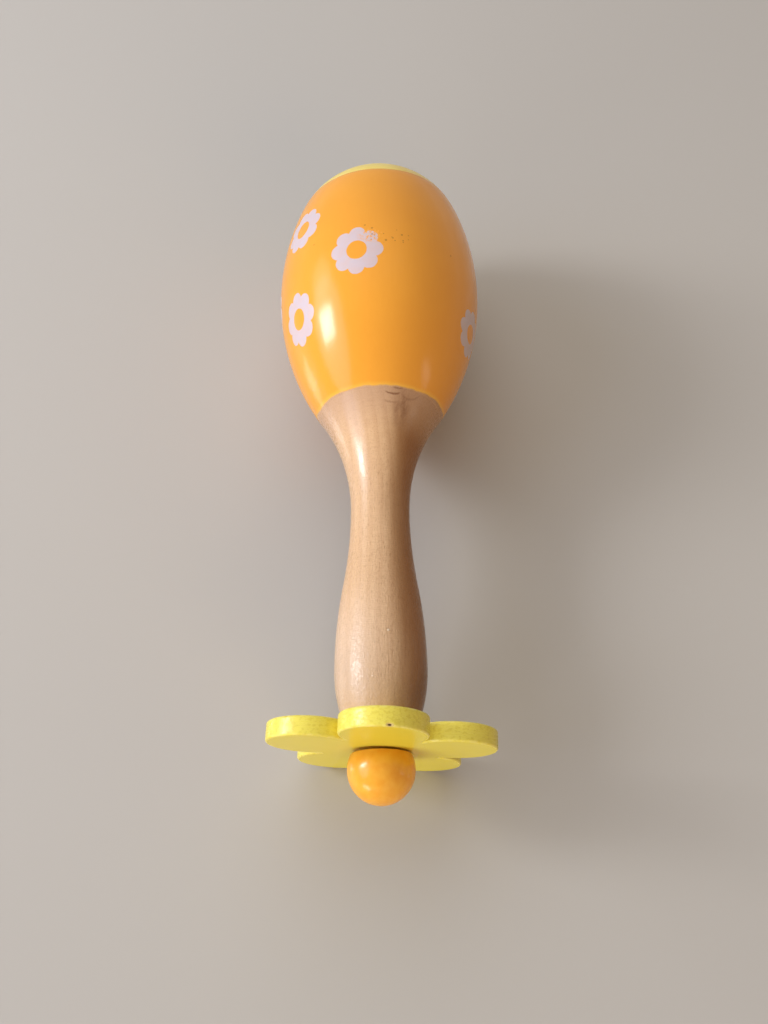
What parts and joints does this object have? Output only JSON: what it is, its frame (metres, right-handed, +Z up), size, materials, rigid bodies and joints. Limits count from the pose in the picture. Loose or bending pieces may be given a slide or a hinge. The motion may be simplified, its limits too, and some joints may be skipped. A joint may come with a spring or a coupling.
{
  "type": "wooden toy maraca",
  "caption": "Turned wooden toy maraca with a hollow egg-shaped head of loose pellets, a waisted handle, a spinning flower disc and a ball end.",
  "frame": {"origin": "on the floor under the middle of the lying maraca", "axes": "+Z up, +Y from the ball end to the crown along the floor, +X to the right seen from the ball end"},
  "size_m": [0.0628, 0.2032, 0.0629],
  "materials": {
    "orange_lacquer": "gloss orange lacquer",
    "yellow_cap_paint": "gloss yellow paint",
    "bare_wood": "clear satin, bare turned wood",
    "yellow_flower_paint": "worn yellow paint",
    "dowel_wood": "raw",
    "ball_lacquer": "gloss orange lacquer",
    "pellet": "gloss"
  },
  "bodies": {
    "maraca": {"head_shell": "orange_lacquer", "crown_cap": "yellow_cap_paint", "handle": "bare_wood", "axle_dowel": "dowel_wood", "end_ball": "ball_lacquer"},
    "flower": {"flower_guard": "yellow_flower_paint"},
    "pellet_01_body": {"pellet_01": "pellet"},
    "pellet_02_body": {"pellet_02": "pellet"},
    "pellet_03_body": {"pellet_03": "pellet"},
    "pellet_04_body": {"pellet_04": "pellet"},
    "pellet_05_body": {"pellet_05": "pellet"},
    "pellet_06_body": {"pellet_06": "pellet"},
    "pellet_07_body": {"pellet_07": "pellet"},
    "pellet_08_body": {"pellet_08": "pellet"},
    "pellet_09_body": {"pellet_09": "pellet"},
    "pellet_10_body": {"pellet_10": "pellet"},
    "pellet_11_body": {"pellet_11": "pellet"},
    "pellet_12_body": {"pellet_12": "pellet"},
    "pellet_13_body": {"pellet_13": "pellet"},
    "pellet_14_body": {"pellet_14": "pellet"},
    "pellet_15_body": {"pellet_15": "pellet"},
    "pellet_16_body": {"pellet_16": "pellet"},
    "pellet_17_body": {"pellet_17": "pellet"},
    "pellet_18_body": {"pellet_18": "pellet"},
    "pellet_19_body": {"pellet_19": "pellet"}
  },
  "joints": [
    {"name": "flower_spin", "type": "hinge", "parent": "maraca", "child": "flower", "pos_m": [0, -0.08588, 0.02644], "axis": [0, 0.9994, 0.0356], "continuous": true},
    {"name": "pellet_01_flight", "type": "slide", "parent": "maraca", "child": "pellet_01_body", "axis": [0, -0.0356, 0.9994], "range_m": [0, 0.04179]},
    {"name": "pellet_02_flight", "type": "slide", "parent": "maraca", "child": "pellet_02_body", "axis": [0, -0.0356, 0.9994], "range_m": [0, 0.04316]},
    {"name": "pellet_03_flight", "type": "slide", "parent": "maraca", "child": "pellet_03_body", "axis": [0, -0.0356, 0.9994], "range_m": [0, 0.04179]},
    {"name": "pellet_04_flight", "type": "slide", "parent": "maraca", "child": "pellet_04_body", "axis": [0, -0.0356, 0.9994], "range_m": [0, 0.04139]},
    {"name": "pellet_05_flight", "type": "slide", "parent": "maraca", "child": "pellet_05_body", "axis": [0, -0.0356, 0.9994], "range_m": [0, 0.04412]},
    {"name": "pellet_06_flight", "type": "slide", "parent": "maraca", "child": "pellet_06_body", "axis": [0, -0.0356, 0.9994], "range_m": [0, 0.04412]},
    {"name": "pellet_07_flight", "type": "slide", "parent": "maraca", "child": "pellet_07_body", "axis": [0, -0.0356, 0.9994], "range_m": [0, 0.04139]},
    {"name": "pellet_08_flight", "type": "slide", "parent": "maraca", "child": "pellet_08_body", "axis": [0, -0.0356, 0.9994], "range_m": [0, 0.03959]},
    {"name": "pellet_09_flight", "type": "slide", "parent": "maraca", "child": "pellet_09_body", "axis": [0, -0.0356, 0.9994], "range_m": [0, 0.04379]},
    {"name": "pellet_10_flight", "type": "slide", "parent": "maraca", "child": "pellet_10_body", "axis": [0, -0.0356, 0.9994], "range_m": [0, 0.0451]},
    {"name": "pellet_11_flight", "type": "slide", "parent": "maraca", "child": "pellet_11_body", "axis": [0, -0.0356, 0.9994], "range_m": [0, 0.04379]},
    {"name": "pellet_12_flight", "type": "slide", "parent": "maraca", "child": "pellet_12_body", "axis": [0, -0.0356, 0.9994], "range_m": [0, 0.03959]},
    {"name": "pellet_13_flight", "type": "slide", "parent": "maraca", "child": "pellet_13_body", "axis": [0, -0.0356, 0.9994], "range_m": [0, 0.04214]},
    {"name": "pellet_14_flight", "type": "slide", "parent": "maraca", "child": "pellet_14_body", "axis": [0, -0.0356, 0.9994], "range_m": [0, 0.04482]},
    {"name": "pellet_15_flight", "type": "slide", "parent": "maraca", "child": "pellet_15_body", "axis": [0, -0.0356, 0.9994], "range_m": [0, 0.04482]},
    {"name": "pellet_16_flight", "type": "slide", "parent": "maraca", "child": "pellet_16_body", "axis": [0, -0.0356, 0.9994], "range_m": [0, 0.04214]},
    {"name": "pellet_17_flight", "type": "slide", "parent": "maraca", "child": "pellet_17_body", "axis": [0, -0.0356, 0.9994], "range_m": [0, 0.04328]},
    {"name": "pellet_18_flight", "type": "slide", "parent": "maraca", "child": "pellet_18_body", "axis": [0, -0.0356, 0.9994], "range_m": [0, 0.04461]},
    {"name": "pellet_19_flight", "type": "slide", "parent": "maraca", "child": "pellet_19_body", "axis": [0, -0.0356, 0.9994], "range_m": [0, 0.04328]}
  ]
}
